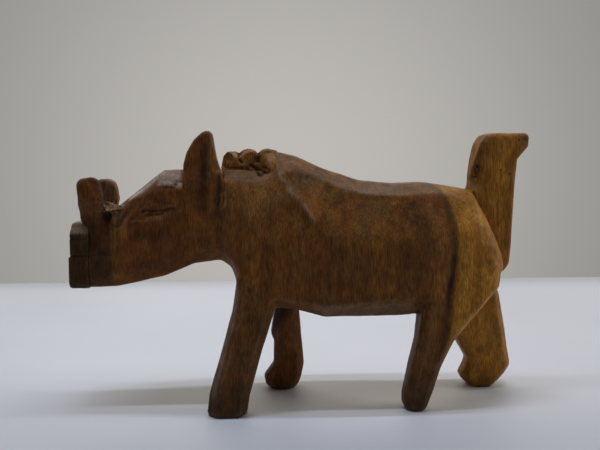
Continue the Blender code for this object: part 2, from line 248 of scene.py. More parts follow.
class Carving:
    """A fine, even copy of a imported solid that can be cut, worn and marked.

    co is only ever changed in place, so its columns x, y and z follow the shape. side is the
    side that the tools work on, -1 for the left. Points and directions are given for the right,
    and are mirrored for the left.
    """

    def __init__(self, name, node, cell, swell=0.0, side=1):
        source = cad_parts[node]
        start = source.data.copy()
        start.transform(source.matrix_world)
        blank = add_object("blank", start)
        weld = blank.modifiers.new("weld", "WELD")
        weld.merge_threshold = 0.01 * MM
        remesh = blank.modifiers.new("even", "REMESH")
        remesh.mode = "VOXEL"
        remesh.voxel_size = cell * MM
        bpy.context.view_layer.update()
        graph = bpy.context.evaluated_depsgraph_get()
        self.mesh = bpy.data.meshes.new_from_object(blank.evaluated_get(graph))
        bpy.data.objects.remove(blank, do_unlink=True)
        self.mesh.name = name
        self.name = name
        self.node = node
        self.side = side
        count = len(self.mesh.vertices)
        flat = np.empty(count * 3, np.float32)
        self.mesh.vertices.foreach_get("co", flat)
        self.co = flat.reshape(-1, 3).astype(float) / MM
        edges = np.empty(len(self.mesh.edges) * 2, np.int32)
        self.mesh.edges.foreach_get("vertices", edges)
        self.edges = edges.reshape(-1, 2)
        self.links = np.bincount(self.edges.ravel(), minlength=count).astype(float)
        self.tints = {}
        if swell:
            self.push(np.full(count, swell))

    def normals(self):
        """Each vertex's outward direction in the present shape."""
        self.mesh.vertices.foreach_set("co", (self.co * MM).astype(np.float32).ravel())
        self.mesh.update()
        flat = np.empty(len(self.co) * 3, np.float32)
        self.mesh.vertex_normals.foreach_get("vector", flat)
        return flat.reshape(-1, 3).astype(float)

    def neighbour_mean(self, values):
        """The mean of each vertex's neighbours' values."""
        first, second = self.edges.T
        total = np.empty_like(values)
        for axis in range(values.shape[1]):
            column = values[:, axis]
            total[:, axis] = np.bincount(first, column[second], len(values))
            total[:, axis] += np.bincount(second, column[first], len(values))
        return total / self.links[:, None]

    def smooth(self, steps, weight=1.0):
        """Wears the surface down, taking edges first. weight is one number, or one a vertex."""
        weight = np.broadcast_to(np.asarray(weight, float), (len(self.co),))[:, None]
        for _ in range(steps):
            self.co += 0.5 * weight * (self.neighbour_mean(self.co) - self.co)

    def sides(self):
        """Turns the tools to the left side, and then to the right."""
        for self.side in (-1, 1):
            yield

    def at(self, points):
        """Points or directions, mirrored to the present side."""
        return np.asarray(points, float) * (1.0, self.side, 1.0)

    def push(self, amount):
        """Moves each vertex outward by its own amount."""
        self.co += self.normals() * np.asarray(amount)[:, None]

    def flat(self, centre, facing, reach, soft=0.25):
        """One knife flat: shaves what stands in front of a plane, near its centre."""
        facing = unit(self.at(facing))
        away = self.co - self.at(centre)
        height = away @ facing
        sideways = np.linalg.norm(away - height[:, None] * facing, axis=1)
        cut = 0.5 * (height + np.sqrt(height * height + soft * soft)) - 0.5 * soft
        share = fade(np.maximum(sideways - 0.6 * reach, 0.0), 0.4 * reach)
        share = share * (self.normals() @ facing > 0.1) * (height < reach)
        self.co -= facing * (np.maximum(cut, 0.0) * share)[:, None]

    def groove(self, path, width, depth, ends=0.15):
        """A V-shaped cut along a path that runs near the surface. Negative depth is a ridge."""
        distance, along = path_distance(self.co, self.at(path))
        self.push(-depth * np.clip(1.0 - distance / width, 0.0, 1.0) * taper(along, ends))

    def dent(self, centre, size, depth):
        """A hollow. size is its radius along each axis."""
        away = (self.co - self.at(centre)) / np.asarray(size, float)
        self.push(-depth * fade(np.linalg.norm(away, axis=1), 1.0))

    def turned(self):
        """1 for the vertices that lie on the side and face it, and 0 for the others."""
        out = self.side * self.normals()[:, 1]
        return ramp(out, 0.0, 0.25) * (self.side * self.co[:, 1] > 0.0)

    def beside(self, path):
        """Distance from a path of (x, z) points as it is seen from the side, how far along it
        each vertex lies, and 1 for the vertices that face that side."""
        flat = self.co * (1.0, 0.0, 1.0)
        distance, along = path_distance(flat, at_depth(0.0, path))
        return distance, along, self.turned()

    def score(self, path, width, depth, ends=0.12):
        """A V-shaped cut drawn on the side. Negative depth is a ridge."""
        distance, along, facing = self.beside(path)
        cut = np.clip(1.0 - distance / width, 0.0, 1.0)
        self.push(-depth * cut * taper(along, ends) * facing)

    def line(self, layer, path, width, strength, ends=0.12):
        """A tinted line drawn on the side."""
        distance, along, facing = self.beside(path)
        self.add_paint(layer, strength * fade(distance, width) * taper(along, ends) * facing)

    def mark(self, path, cut, tint, ends=0.12):
        """A scored cut or ridge with a tinted line along it. cut is its width and depth, and
        tint is the line's layer, width and strength."""
        self.score(path, *cut, ends)
        layer, width, strength = tint
        self.line(layer, path, width, strength, ends)

    def near_spot(self, centre, size, ragged=0.0, seed=GRAIN_SEED):
        """1 at the centre of a spot seen from the side, and 0 outside it."""
        reach = np.hypot((self.co[:, 0] - centre[0]) / size[0],
                         (self.co[:, 2] - centre[1]) / size[1])
        if ragged:
            reach = reach + ragged * value_noise(self.co, (0.9, 0.9, 1.6), seed)
        return fade(np.maximum(reach, 0.0), 1.0) * self.turned()

    def spot(self, layer, centre, size, strength, ragged=0.0, seed=GRAIN_SEED):
        """A tinted spot seen from the side."""
        self.add_paint(layer, strength * self.near_spot(centre, size, ragged, seed))

    def hollow(self, centre, size, depth):
        """A hollow seen from the side."""
        self.push(-depth * self.near_spot(centre, size))

    def roughen(self, cell, amount, seed):
        """Uneven marks of one size all over."""
        self.push(amount * value_noise(self.co, cell, seed))

    def knife_marks(self, cell, depth, seed, where):
        """Shallow scallops that meet in faint ridges, as a short blade leaves."""
        distance = cell_distance(self.co, cell, seed)
        self.push(depth * (np.minimum(distance, 1.0) ** 2 - 0.35) * where)

    def gap_to(self, *nodes):
        """Each vertex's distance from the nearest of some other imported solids."""
        nearest = np.full(len(self.co), 99.0)
        for node in nodes:
            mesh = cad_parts[node].data
            corners = [v.co / MM for v in mesh.vertices]
            tree = BVHTree.FromPolygons(corners, [tuple(p.vertices) for p in mesh.polygons])
            for i, place in enumerate(self.co):
                found = tree.find_nearest(place, 3.0)[3]
                if found is not None:
                    nearest[i] = min(nearest[i], found)
        return nearest

    def seam(self, reach, *nodes):
        """1 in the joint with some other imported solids, falling to 0 over the reach beyond it."""
        return fade(np.maximum(self.gap_to(*nodes) - SEAM_WIDTH, 0.0), reach)

    def fill(self, centre, facing, size):
        """Brings the surface out to a plane wherever it lies behind it, near its centre."""
        facing = unit(self.at(facing))
        away = self.co - self.at(centre)
        height = away @ facing
        share = fade(np.linalg.norm(away / np.asarray(size, float), axis=1), 1.0)
        share = np.minimum(share * 1.6, 1.0) * (self.normals() @ facing > 0.2)
        self.co -= facing * (np.minimum(height, 0.0) * share)[:, None]

    def paint(self, layer, centre, size, strength, ragged=0.0, seed=GRAIN_SEED):
        """Tints a spot. ragged breaks its edge up along the grain."""
        away = (self.co - self.at(centre)) / np.asarray(size, float)
        reach = np.linalg.norm(away, axis=1)
        if ragged:
            reach = reach + ragged * value_noise(self.co, (0.9, 0.9, 3.0), seed)
        self.add_paint(layer, strength * fade(np.maximum(reach, 0.0), 1.0))

    def stroke(self, layer, path, width, strength, ends=0.12):
        """Tints a line that runs near the surface."""
        distance, along = path_distance(self.co, self.at(path))
        self.add_paint(layer, strength * fade(distance, width) * taper(along, ends))

    def add_paint(self, layer, amount):
        """Tints by an amount for each vertex, where the layer isn't already stronger."""
        self.tints[layer] = np.maximum(self.tints.get(layer, 0.0), amount)

    def curvature(self, steps=3):
        """How far each vertex stands out of its surroundings, in millimetres."""
        around = self.co
        for _ in range(steps):
            around = self.neighbour_mean(around)
        return np.sum((self.co - around) * self.normals(), axis=1)

    def done(self, material, seam=0.0):
        """Makes the object, with its wear, its darkening in hollows and its tints as attributes, in
        place of the solid.
        """
        edge = self.curvature() * (1.0 - seam)
        count = len(self.co)
        layers = {"worn": ramp(edge, 0.01, 0.07), "hollow_dark": ramp(-edge, 0.012, 0.10)}
        for layer in TINTS:
            layers[layer] = np.broadcast_to(self.tints.get(layer, 0.0), (count,))
        self.normals()  # this also gives the mesh its final shape
        for layer, values in layers.items():
            attribute = self.mesh.attributes.new(layer, "FLOAT", "POINT")
            attribute.data.foreach_set("value", np.clip(values, 0.0, 1.0).astype(np.float32))
        self.mesh.materials.clear()
        self.mesh.materials.append(material)
        self.mesh.polygons.foreach_set("use_smooth", [True] * len(self.mesh.polygons))
        piece = add_object(self.name, self.mesh)
        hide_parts(self.node)
        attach(piece, "root")


# ---- Materials ----


class Tree:
    """Short names for building a material's nodes."""

    def __init__(self, name):
        self.material = bpy.data.materials.new(name)
        self.material.use_nodes = True
        self.tree = self.material.node_tree
        self.tree.nodes.clear()

    def node(self, kind, settings=None, **inputs):
        """A new node. An input is called by its name, or by i and its number."""
        made = self.tree.nodes.new(f"ShaderNode{kind}")
        for key, value in (settings or {}).items():
            setattr(made, key, value)
        for key, value in inputs.items():
            socket = made.inputs[int(key[1:])] if key[0] == "i" and key[1:].isdigit() else None
            socket = socket or made.inputs[key.replace("_", " ")]
            if isinstance(value, bpy.types.NodeSocket):
                self.tree.links.new(value, socket)
            else:
                socket.default_value = value
        return made

    def math(self, operation, first, second=0.0):
        return self.node("Math", {"operation": operation}, i0=first, i1=second).outputs[0]

    def times(self, first, second):
        return self.math("MULTIPLY", first, second)

    def plus(self, first, second):
        return self.math("ADD", first, second)

    def fit(self, value, low, high, to_low=0.0, to_high=1.0):
        """Maps low..high to to_low..to_high, with a smooth rise and no overshoot."""
        made = self.node("MapRange", {"interpolation_type": "SMOOTHSTEP"}, Value=value)
        for key, number in zip(range(1, 5), (low, high, to_low, to_high)):
            made.inputs[key].default_value = number
        return made.outputs[0]

    def mix(self, share, first, second, blend="MIX"):
        made = self.node("Mix", {"data_type": "RGBA", "blend_type": blend, "clamp_factor": True})
        for socket, value in zip((made.inputs[0], made.inputs[6], made.inputs[7]),
                                 (share, first, second)):
            if isinstance(value, bpy.types.NodeSocket):
                self.tree.links.new(value, socket)
            else:
                socket.default_value = (*value, 1.0) if isinstance(value, tuple) else value
        return made.outputs[2]

    def stretch(self, vector, scale):
        settings = {"operation": "MULTIPLY"}
        return self.node("VectorMath", settings, i0=vector, i1=scale).outputs[0]

    def noise(self, vector, scale, detail=2.0, roughness=0.5):
        """Noise of one scale, or of one along each axis."""
        if isinstance(scale, tuple):
            vector, scale = self.stretch(vector, scale), 1.0
        made = self.node("TexNoise", None, Vector=vector, Scale=scale, Detail=detail,
                         Roughness=roughness)
        return made.outputs[0]

    def layer(self, name):
        return self.node("Attribute", {"attribute_name": name}).outputs["Fac"]

    def grey(self, value):
        """A colour with one value in all three channels."""
        return self.node("CombineColor", None, i0=value, i1=value, i2=value).outputs[0]


def make_wood(name):
    """Upright-grained hardwood: dark heartwood, and golden sapwood behind a curved boundary."""
    t = Tree(name)
    place = t.stretch(t.node("TexCoord").outputs["Object"], (1 / MM, 1 / MM, 1 / MM))
    x, y, z = t.node("SeparateXYZ", None, Vector=place).outputs

    # The boundary between the two woods follows a growth ring, so it leans from side to side
    # and hardly changes with height.
    wander = t.noise(place, (0.15, 0.15, 0.035))
    edge = t.plus(x, t.times(y, SAP_LEAN))
    edge = t.plus(edge, t.times(t.math("SUBTRACT", wander, 0.5), SAP_WANDER))
    low = t.math("MINIMUM", t.math("SUBTRACT", z, SAP_FOOT[0]), 0.0)
    edge = t.plus(edge, t.times(low, SAP_FOOT[1]))
    sap = t.fit(edge, 31.6, 33.6)
    edge_band = t.times(t.fit(edge, 29.4, 32.2), t.fit(edge, 34.2, 32.4))
    warm_band = t.times(t.fit(edge, 23.5, 27.5), t.fit(edge, 31.2, 29.0))

    # Growth streaks, seen as upright lines on the flanks.
    broad = t.noise(place, (0.24, 0.3, 0.022), 3.0, 0.55)
    streak = t.noise(place, (1.1, 1.1, 0.06), 3.0, 0.6)
    fine = t.noise(place, (3.6, 3.6, 0.35), 2.0, 0.6)
    pores = t.noise(place, (6.5, 6.5, 0.75), 1.0, 0.5)
    pore = t.fit(pores, 0.60, 0.70)
    patch = t.noise(place, 0.11)

    heart = t.mix(t.fit(broad, 0.3, 0.7), HEART_DARK, HEART_LIGHT)
    heart = t.mix(t.fit(patch, 0.35, 0.7, 0.0, 0.7), heart, HEART_DULL)
    heart = t.mix(t.times(warm_band, 0.5), heart, HEART_WARM)
    heart = t.mix(t.fit(streak, 0.3, 0.7, 0.0, 0.30), heart, HEART_STREAK)
    hue = t.noise(place, (0.21, 0.21, 0.13), 3.0, 0.6)
    heart = t.mix(t.fit(hue, 0.54, 0.70, 0.0, 0.45), heart, HEART_RED)
    heart = t.mix(t.fit(hue, 0.46, 0.32, 0.0, 0.40), heart, HEART_OLIVE)
    yellow = t.mix(t.fit(broad, 0.3, 0.7), SAP_DARK, SAP_LIGHT)
    yellow = t.mix(t.fit(streak, 0.35, 0.75, 0.0, 0.30), yellow, SAP_STREAK)
    mottle = t.noise(place, (0.33, 0.33, 0.24), 3.0, 0.65)
    yellow = t.mix(t.fit(mottle, 0.48, 0.72, 0.0, 0.55), yellow, SAP_MOTTLE)
    colour = t.mix(sap, heart, yellow)
    colour = t.mix(t.times(edge_band, 0.55), colour, BOUNDARY)

    # Upward faces are greyed by dust and by a painted sheen, and handling has rubbed the edges
    # pale.
    up = t.node("SeparateXYZ", None, Vector=t.node("NewGeometry").outputs["Normal"]).outputs[2]
    dust_and_sheen = t.times(t.fit(up, 0.45, 1.0), t.fit(patch, 0.25, 0.65, 0.35, 1.0))
    colour = t.mix(t.times(dust_and_sheen, 0.30), colour, DUST_AND_SHEEN)
    worn = t.layer("worn")
    colour = t.mix(t.times(worn, 0.22), colour, WORN)
    # Hollows are darker.
    colour = t.mix(t.times(t.layer("hollow_dark"), 0.8), colour, HOLLOW_DARK)
    for layer, tint in TINTS.items():
        colour = t.mix(t.layer(layer), colour, tint)
    colour = t.mix(t.times(pore, 0.38), colour, PORE)
    blotch = t.fit(t.noise(place, (0.42, 0.42, 0.27), 3.0, 0.6), 0.3, 0.7, 0.78, 1.22)
    speck = t.times(t.fit(fine, 0.3, 0.7, 0.64, 1.36), blotch)
    colour = t.mix(1.0, colour, t.grey(speck), "MULTIPLY")

    roughness = t.fit(fine, 0.3, 0.7, 0.42, 0.6)
    roughness = t.math("SUBTRACT", roughness, t.times(worn, 0.08))
    height = t.plus(t.times(pore, -1.0), t.times(fine, 0.7))
    height = t.plus(height, t.times(streak, 1.2))
    bump = t.node("Bump", None, Strength=0.5, Distance=0.08 * MM, Height=height)
    surface = t.node("BsdfPrincipled", None, Base_Color=colour, Roughness=roughness,
                     Normal=bump.outputs[0])
    surface.inputs["Specular IOR Level"].default_value = WOOD_SHINE
    t.node("OutputMaterial", None, Surface=surface.outputs[0])
    return t.material


def make_table(name, colour, roughness):
    """A pale laminate, faintly mottled and scuffed. Painted shade darkens it towards its front edge
    and towards the sides, and it is also darker near its far edge.
    """
    t = Tree(name)
    place = t.stretch(t.node("NewGeometry").outputs["Position"], (1 / MM, 1 / MM, 1 / MM))
    x, y, _ = t.node("SeparateXYZ", None, Vector=place).outputs
    mottle_and_shade = t.fit(t.noise(place, 0.02, 4.0), 0.25, 0.75, 0.97, 1.0)
    mottle_and_shade = t.times(mottle_and_shade, t.fit(y, -60.0, 45.0, 0.73, 1.0))
    mottle_and_shade = t.times(mottle_and_shade, t.fit(y, 170.0, 212.0, 1.0, 0.72))
    aside = t.math("ABSOLUTE", t.plus(x, 15.0))
    mottle_and_shade = t.times(mottle_and_shade, t.fit(aside, 40.0, 130.0, 1.0, 0.90))
    colour = t.mix(1.0, colour, t.grey(mottle_and_shade), "MULTIPLY")
    surface = t.node("BsdfPrincipled", None, Base_Color=colour, Roughness=roughness)
    t.node("OutputMaterial", None, Surface=surface.outputs[0])
    return t.material


# ---- The figure ----


def carve_brow(block):
    """The side of the brow stands upright, and a flat lies on top of it by the ear, greyed with a
    painted sheen.
    """
    block.fill((-34.2, 9.4, 63.2), (-0.05, 0.78, 0.62), (2.8, 3.5, 2.8))
    block.fill((-46.0, 9.6, 58.0), (-0.14, 0.96, 0.22), (5.5, 6.0, 4.5))
    block.flat((-36.6, 8.4, 65.0), (-0.10, 0.62, 0.78), 5.2)
    x, y, z = block.co.T
    facet = ramp(block.side * y, 4.2, 5.0) * ramp(z, 62.6, 63.3)
    ahead = ramp(x, -41.4, -39.6) * drop(x, -35.0, -33.8)
    # Painted sheen, grey and warm, on the flat on top of the brow.
    block.add_paint("bare_and_highlight", 0.60 * facet * ahead)
    block.add_paint("orange", 0.30 * facet * ahead)
    # A painted shadow in the cut under the flat's lower edge.
    under = at_depth(9.8, [(-40.2, 63.0), (-38.0, 62.6), (-35.4, 62.6)])
    block.groove(under, 0.6, 0.25)
    block.stroke("dark", under, 0.6, 0.55)
    block.paint("pale", (-34.0, 9.2, 63.4), (1.6, 2.8, 1.8), 0.80, ragged=0.4)
    # A painted highlight along the brow's upper edge, stronger on the left.
    edge = [(-49.4, 6.4, 59.0), (-46.0, 7.2, 61.4), (-41.0, 7.6, 65.2),
            (-38.2, 6.6, 67.2)]
    strip_highlight = 1.0 if block.side < 0 else 0.4
    block.stroke("bare_and_highlight", edge, 1.5, strip_highlight)
    strip = [(-49.0, 58.8), (-45.9, 61.2), (-40.9, 65.0), (-38.2, 67.0)]
    block.line("bare_and_highlight", strip, 0.9, strip_highlight)
    block.line("pale", strip, 0.8, 0.45 * strip_highlight)
    block.paint("shade", (-42.5, 10.2, 59.5), (8.0, 4.0, 4.2), 0.32, ragged=0.3)
    # A small hole, with painted shade in it.
    block.dent((-35.4, 9.9, 63.3), (0.6, 1.6, 0.5), 0.6)
    block.paint("dark", (-35.5, 9.6, 63.2), (0.75, 2.0, 0.55), 1.0)


def carve_eye(block):
    """Short ragged cuts, one over the other, with the lower lid standing proud."""
    # Each cut gets a dark line of painted shade.
    for path, depth in (([(-45.0, 56.0), (-43.2, 56.4), (-41.6, 56.1), (-40.0, 56.3)], 0.34),
                        ([(-44.2, 54.9), (-42.4, 55.1), (-40.4, 55.2), (-38.4, 55.6)], 0.26),
                        ([(-40.4, 56.6), (-38.6, 56.4), (-37.0, 56.9), (-35.4, 56.7)], 0.26),
                        ([(-42.6, 57.2), (-40.6, 57.1), (-38.8, 57.6)], 0.14)):
        block.mark(path, (0.55, depth), ("dark", 0.6, 1.7 * depth))
    # The proud lids get a pale painted highlight.
    for lid in ([(-48.0, 53.2), (-46.2, 53.6), (-44.4, 53.4)],
                [(-44.6, 53.7), (-42.4, 53.6), (-40.4, 54.1), (-38.2, 54.0)]):
        block.mark(lid, (0.9, -0.15), ("pale", 0.6, 0.09))
    block.hollow((-39.0, 58.4), (3.2, 1.6), 0.35)
    # Painted shade along the eye.
    block.spot("dark", (-41.0, 56.2), (4.6, 1.3), 0.40, ragged=0.5)


def carve_torn_ground(block):
    """The ground behind the tusk is cut upright and torn, with the cheek's edge behind it."""
    block.fill((-53.2, 8.5, 56.0), (0.0, 0.985, 0.17), (5.0, 6.0, 4.6))
    block.line("tan", [(-51.2, 56.6), (-51.0, 55.0), (-51.6, 52.0)], 2.1, 0.70)
    block.line("shade", [(-51.2, 56.2), (-51.0, 54.0), (-51.8, 51.6)], 2.6, 0.50)
    for path, strength in (([(-52.2, 57.0), (-51.4, 55.4), (-51.8, 53.2)], 0.14),
                           ([(-50.8, 57.6), (-50.2, 55.8), (-50.6, 53.6)], 0.12),
                           ([(-52.4, 54.6), (-52.0, 52.4)], 0.10)):
        block.mark(path, (0.5, -0.14), ("pale", 0.45, strength))
    # Dark lines of painted shade between the torn fibres.
    for path in ([(-51.8, 55.8), (-51.2, 53.6), (-51.9, 51.6)],
                 [(-50.4, 55.4), (-50.0, 53.8), (-50.8, 52.0)],
                 [(-52.9, 53.6), (-52.4, 51.4)]):
        block.line("dark", path, 0.35, 0.45)
    # The ridge gets a pale painted highlight, and the trough beside it a dark line of painted
    # shade.
    ridge = [(-50.5, 50.9), (-49.6, 52.8), (-48.4, 54.4), (-46.9, 56.6)]
    block.mark(ridge, (1.0, -0.20), ("pale", 0.5, 0.08))
    trough = [(-52.6, 51.2), (-51.0, 52.0), (-49.8, 54.2), (-48.2, 56.2)]
    block.mark(trough, (0.8, 0.12), ("dark", 0.5, 0.22))
    # Painted highlight: the orange wood lit below the ridge.
    block.spot("orange", (-49.5, 50.6), (1.8, 2.4), 0.45, ragged=0.4)
    # The pocket by the tusk: a hollow with painted shade in it.
    block.hollow((-54.1, 54.8), (1.9, 2.3), 1.2)
    block.spot("dark", (-54.2, 54.7), (2.3, 2.8), 0.85, ragged=0.3)


def cut_nick(piece):
    """The cluster of cuts where the neck's ledge meets the hindmost lobe of the mane."""
    piece.spot("shade", (-13.2, 67.7), (3.0, 2.4), 0.40, ragged=0.4, seed=19)
    # Each cut gets a dark line of painted shade.
    for path, width, depth in (([(-15.8, 68.9), (-13.7, 67.3), (-12.7, 65.5)], 0.7, 0.45),
                               ([(-12.7, 65.4), (-12.0, 66.3), (-9.2, 66.8)], 0.7, 0.45),
                               ([(-12.0, 68.0), (-9.4, 67.0)], 0.6, 0.35)):
        piece.mark(path, (width, depth), ("dark", 0.8 * width, 0.8))
    # A hollow with painted shade in it.
    piece.hollow((-12.8, 66.0), (0.9, 0.8), 0.4)
    piece.spot("dark", (-12.8, 66.0), (1.0, 0.9), 0.6)


def cut_side(block):
    """The cuts on one side of the neck, shoulder, back, thigh and rump."""
    # Behind the ear the neck starts with a deep upright cut.
    cut = [(-22.9, 68.2), (-23.0, 62.0), (-23.3, 57.0)]
    block.groove(at_depth(11.2, cut), 0.9, 0.7, ends=0.2)
    # The cut's dark line is painted shade.
    block.line("dark", cut, 0.9, 0.95, ends=0.2)
    lip = at_depth(11.2, [(-21.9, 67.0), (-22.0, 62.0), (-22.4, 56.5)])
    block.stroke("pale", lip, 0.8, 0.14)

    cut_nick(block)

    # The shoulder's edge, with a darker forward flat in front of it.
    shoulder = [(-8.4, 9.2, 66.4), (-5.7, 10.6, 63.7), (-4.4, 12.0, 61.0),
                (-1.9, 13.0, 58.8), (0.5, 13.8, 55.8), (3.0, 14.4, 52.3)]
    block.groove(shoulder, 2.2, -0.32)
    block.stroke("pale", shoulder, 1.3, 0.15)
    block.dent((-4.4, 12.4, 56.4), (4.6, 6.0, 5.6), 0.45)
    block.paint("shade", (-3.4, 12.8, 56.8), (3.4, 5.0, 4.2), 0.12, ragged=0.3)
    block.paint("tan", (-14.0, 12.0, 59.0), (9.5, 6.0, 9.5), 0.55, ragged=0.2, seed=14)
    block.paint("tan", (2.0, 9.0, 62.5), (9.0, 6.0, 6.0), 0.30, ragged=0.2, seed=15)
    nick = [(-2.4, 10.6, 62.0), (0.6, 8.8, 65.8)]
    block.groove(nick, 0.7, 0.3)
    block.stroke("shade", nick, 1.0, 0.35)

    # The lower edge of the dipped back.
    back = [(5.0, 9.0, 64.4), (9.5, 9.3, 61.4), (16.1, 9.4, 60.6),
            (21.7, 9.5, 60.3), (25.5, 9.6, 60.3), (30.0, 9.5, 60.8)]
    block.groove(back, 1.4, -0.15)

    # A crease runs down the thigh where the two woods meet.
    crease = [(40.6, 13.6, 47.0), (39.8, 13.8, 39.0), (38.3, 13.8, 31.0), (36.8, 13.8, 23.0)]
    block.groove(crease, 1.5, 0.35)
    # The crease's dark line is painted shade.
    block.stroke("dark", crease, 1.2, 0.35)
    block.stroke("orange", [(p - 3.0, q, r) for p, q, r in crease[1:]], 1.9, 0.28)

    # Rubbed rim of the rump beside the tail.
    rim = [(48.2, 7.4, 60.0), (50.0, 7.6, 56.0), (52.4, 7.8, 50.4),
           (54.4, 7.2, 45.6), (55.9, 6.0, 41.0)]
    block.stroke("pale", rim, 1.2, 0.20)


def tint_block(block):
    """Tints of the wood, with the darkened muzzle and the legs darker towards the bottom, most on
    the near side.
    """
    x, y, z = block.co.T
    # The legs are darker towards the bottom, most on the near side, and all feet at the very
    # bottom.
    near_legs = drop(x, 36.0, 40.0) * (1.0 - 0.8 * (y > 0.0))
    block.add_paint("shade", 0.72 * drop(z, 1.0, 26.0) * near_legs)
    block.add_paint("shade", 0.30 * drop(z, 24.0, 38.0) * near_legs)
    block.add_paint("shade", 0.45 * drop(z, 0.5, 7.0))
    for _ in block.sides():
        muzzle_tints(block)
        for layer, centre, size, strength, seed in BLOCK_SPOTS:
            block.spot(layer, centre, size, strength, ragged=0.4, seed=seed)
        # Painted highlights down the front corners of the legs, where they face the light.
        block.line("bare_and_highlight", [(-18.9, 37.0), (-19.9, 28.0), (-22.5, 19.0), (-26.3, 4.0)], 1.2,
                   0.27, ends=0.1)
        block.line("bare_and_highlight", [(30.6, 26.0), (29.6, 18.0), (27.8, 9.0)], 1.0, 0.30)
    block.add_paint("red", 0.50 * drop(x, -34.0, -26.0) * ramp(x, -54.0, -50.0))
    # The far fore leg, on the face that is seen: painted shade at its top under the belly, orange
    # in its middle.
    inner = (y > 0.0) * ramp(-block.normals()[:, 1], 0.1, 0.4) * (x < 10.0) * (z < 33.0)
    block.add_paint("red", 0.35 * drop(z, 20.0, 28.0) * (y > 0.0) * (x < 10.0))
    block.add_paint("shade", 0.85 * ramp(z + 1.4 * (-6.0 - x), 19.0, 25.0) * inner)
    middle = fade(np.hypot((x + 3.5) / 4.5, (z - 17.0) / 8.0), 1.0)
    block.add_paint("orange", 0.30 * middle * inner)
    # A faint painted highlight on the top of the dipped back, toned down by a little painted shade,
    # and the belly's paler edge.
    lens = np.interp(x, (5.0, 9.5, 16.1, 21.7, 25.5, 30.0), (64.5, 61.2, 60.5, 60.3, 61.6, 62.9))
    above = ramp(z - lens, -0.2, 0.3) * ramp(x, 5.0, 12.0) * drop(x, 25.0, 30.0)
    block.add_paint("bare_and_highlight", 0.05 * above)
    block.add_paint("shade", 0.12 * above)
    under = ramp(x, -2.0, 6.0) * drop(x, 28.0, 31.0) * drop(z, 30.0, 32.0)
    block.add_paint("bare_and_highlight", 0.13 * under * (z > 25.0))


def carve_block(wood):
    """Trunk, neck, head and legs."""
    block = Carving("warthog_block", "carved_block", BLOCK_CELL)
    seam = block.seam(1.2, *SLIPS)
    x, _, z = block.co.T
    legs = ramp(-z, -34.0, -26.0)
    head = ramp(-x, 20.0, 26.0)
    block.smooth(11, (1.0 - 0.85 * legs - 0.6 * head) * (1.0 - 0.9 * seam))
    block.smooth(2, 1.0 - 0.7 * seam)
    flank = fade(np.abs(z - 51.0), 7.0) * ramp(x, -6.0, 0.0) * drop(x, 40.0, 48.0)
    block.smooth(110, flank * (1.0 - seam))
    neck = fade(np.abs(z - 64.6), 5.0) * ramp(x, -22.6, -21.6) * drop(x, -10.0, -7.0)
    block.smooth(150, neck * (1.0 - seam))

    for _ in block.sides():
        carve_brow(block)
        carve_eye(block)
        carve_torn_ground(block)
    for _ in block.sides():
        cut_side(block)
    tint_block(block)

    block.knife_marks((7.0, 7.0, 11.0), 0.20, 11, where=(0.6 + 0.4 * legs) * (1.0 - seam))
    block.roughen((2.6, 2.6, 5.0), 0.05, 12)
    block.roughen((0.9, 0.9, 3.2), 0.016, 13)
    block.done(wood, seam)
    return block


def muzzle_tints(piece):
    """The darkened end of the muzzle, the same on the block and on the tusk let into it."""
    x, _, z = piece.co.T
    end = drop(x, -54.0, -52.4)
    piece.add_paint("shade", (0.50 + 0.18 * drop(z, 44.0, 52.0)) * end * drop(z, 52.0, 60.0))
    piece.line("orange", [(-59.4, 44.6), (-57.0, 44.9)], 0.6, 0.5)
    piece.line("dark", [(-57.4, 44.6), (-53.2, 44.4)], 0.4, 0.5)
    piece.line("orange", [(-59.0, 36.2), (-59.1, 43.4)], 0.5, 0.35)


def ground_beside(slip, block):
    """The block's surface round a slip, as a function of place that gives its distance from the
    middle plane: a curved sheet fitted to the wood just outside the joint."""
    gap = block.gap_to(slip.node)
    out = slip.side * block.co[:, 1]
    facing = slip.side * block.normals()[:, 1]
    nearest, farthest = JOINT_RING
    ring = (gap > nearest) & (gap < farthest) & (out > 6.0) & (facing > 0.80)
    low = block.co[ring].min(axis=0)
    high = block.co[ring].max(axis=0)
    centre = 0.5 * (low + high)

    def terms(places):
        u, _, w = (np.clip(places, low, high) - centre).T
        return np.stack((np.ones_like(u), u, w, u * u, u * w, w * w), axis=1)

    weights = np.linalg.lstsq(terms(block.co[ring]), out[ring], rcond=None)[0]
    return lambda places: terms(places) @ weights


def blend_in(slip, block, low, high):
    """Planes a slip's outer face down to the block's surface below the height low, easing off
    towards high. Its rim spreads over the joint and dips into the block, so no line shows."""
    level = ground_beside(slip, block)
    below = drop(slip.co[:, 2], low, high)
    normals = slip.normals()
    rim = normals * (1.0, 0.0, 1.0)
    outer = slip.side * slip.co[:, 1] > level(slip.co) - 0.7
    edge = outer * drop(slip.side * normals[:, 1], 0.55, 0.97)
    slip.co += rim * (JOINT_LIP * outer * below)[:, None]
    flush = level(slip.co) + JOINT_PROUD - JOINT_DIP * edge
    slip.co[:, 1] -= slip.side * np.maximum(slip.side * slip.co[:, 1] - flush, 0.0) * below


